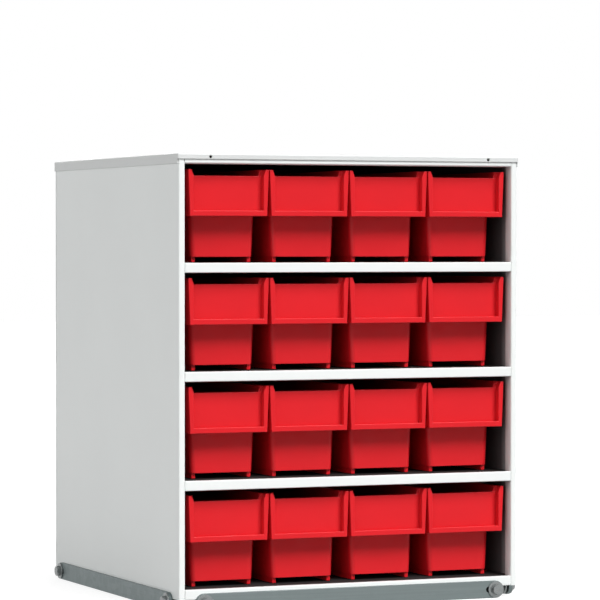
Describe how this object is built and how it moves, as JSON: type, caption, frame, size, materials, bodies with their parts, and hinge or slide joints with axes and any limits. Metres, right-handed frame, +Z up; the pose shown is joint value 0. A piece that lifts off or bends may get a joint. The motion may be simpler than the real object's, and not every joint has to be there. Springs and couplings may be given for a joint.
{
  "type": "small parts drawer cabinet",
  "caption": "Sheet steel cabinet with tiers of open-topped plastic bins that slide out by their label fronts, for sorting and storing small parts.",
  "frame": {"origin": "middle of the footprint, on the surface that the bars stand on", "axes": "+X to the right seen from the front, the bins face -Y, +Z up"},
  "size_m": [0.4164, 0.4214, 0.4836],
  "materials": {
    "casing_paint": "satin powder coat, light grey white",
    "bin_red": "moulded polypropylene, soft gloss",
    "bar_zinc": "zinc plated, dull",
    "fastener_zinc": "zinc plated"
  },
  "bodies": {
    "casing": {"left_side_panel": "casing_paint", "right_side_panel": "casing_paint", "back_panel": "casing_paint", "top_lid": "casing_paint", "top_front_rail": "casing_paint", "shelf_1": "casing_paint", "shelf_2": "casing_paint", "shelf_3": "casing_paint", "base_panel": "casing_paint", "front_bar": "bar_zinc", "rear_bar": "bar_zinc", "left_bar": "bar_zinc", "right_bar": "bar_zinc", "bar_bolts": "fastener_zinc", "bar_outer_washers": "fastener_zinc", "bar_inner_washers": "fastener_zinc", "bar_nuts": "fastener_zinc", "back_panel_rivets": "fastener_zinc"},
    "bin_1_1": {"bin_1_1": "bin_red"},
    "bin_1_2": {"bin_1_2": "bin_red"},
    "bin_1_3": {"bin_1_3": "bin_red"},
    "bin_1_4": {"bin_1_4": "bin_red"},
    "bin_2_1": {"bin_2_1": "bin_red"},
    "bin_2_2": {"bin_2_2": "bin_red"},
    "bin_2_3": {"bin_2_3": "bin_red"},
    "bin_2_4": {"bin_2_4": "bin_red"},
    "bin_3_1": {"bin_3_1": "bin_red"},
    "bin_3_2": {"bin_3_2": "bin_red"},
    "bin_3_3": {"bin_3_3": "bin_red"},
    "bin_3_4": {"bin_3_4": "bin_red"},
    "bin_4_1": {"bin_4_1": "bin_red"},
    "bin_4_2": {"bin_4_2": "bin_red"},
    "bin_4_3": {"bin_4_3": "bin_red"},
    "bin_4_4": {"bin_4_4": "bin_red"}
  },
  "joints": [
    {"name": "bin_1_1_slide", "type": "slide", "parent": "casing", "child": "bin_1_1", "axis": [0, -1, 0], "range_m": [0, 0.36]},
    {"name": "bin_1_2_slide", "type": "slide", "parent": "casing", "child": "bin_1_2", "axis": [0, -1, 0], "range_m": [0, 0.36]},
    {"name": "bin_1_3_slide", "type": "slide", "parent": "casing", "child": "bin_1_3", "axis": [0, -1, 0], "range_m": [0, 0.36]},
    {"name": "bin_1_4_slide", "type": "slide", "parent": "casing", "child": "bin_1_4", "axis": [0, -1, 0], "range_m": [0, 0.36]},
    {"name": "bin_2_1_slide", "type": "slide", "parent": "casing", "child": "bin_2_1", "axis": [0, -1, 0], "range_m": [0, 0.36]},
    {"name": "bin_2_2_slide", "type": "slide", "parent": "casing", "child": "bin_2_2", "axis": [0, -1, 0], "range_m": [0, 0.36]},
    {"name": "bin_2_3_slide", "type": "slide", "parent": "casing", "child": "bin_2_3", "axis": [0, -1, 0], "range_m": [0, 0.36]},
    {"name": "bin_2_4_slide", "type": "slide", "parent": "casing", "child": "bin_2_4", "axis": [0, -1, 0], "range_m": [0, 0.36]},
    {"name": "bin_3_1_slide", "type": "slide", "parent": "casing", "child": "bin_3_1", "axis": [0, -1, 0], "range_m": [0, 0.36]},
    {"name": "bin_3_2_slide", "type": "slide", "parent": "casing", "child": "bin_3_2", "axis": [0, -1, 0], "range_m": [0, 0.36]},
    {"name": "bin_3_3_slide", "type": "slide", "parent": "casing", "child": "bin_3_3", "axis": [0, -1, 0], "range_m": [0, 0.36]},
    {"name": "bin_3_4_slide", "type": "slide", "parent": "casing", "child": "bin_3_4", "axis": [0, -1, 0], "range_m": [0, 0.36]},
    {"name": "bin_4_1_slide", "type": "slide", "parent": "casing", "child": "bin_4_1", "axis": [0, -1, 0], "range_m": [0, 0.36]},
    {"name": "bin_4_2_slide", "type": "slide", "parent": "casing", "child": "bin_4_2", "axis": [0, -1, 0], "range_m": [0, 0.36]},
    {"name": "bin_4_3_slide", "type": "slide", "parent": "casing", "child": "bin_4_3", "axis": [0, -1, 0], "range_m": [0, 0.36]},
    {"name": "bin_4_4_slide", "type": "slide", "parent": "casing", "child": "bin_4_4", "axis": [0, -1, 0], "range_m": [0, 0.36]}
  ]
}
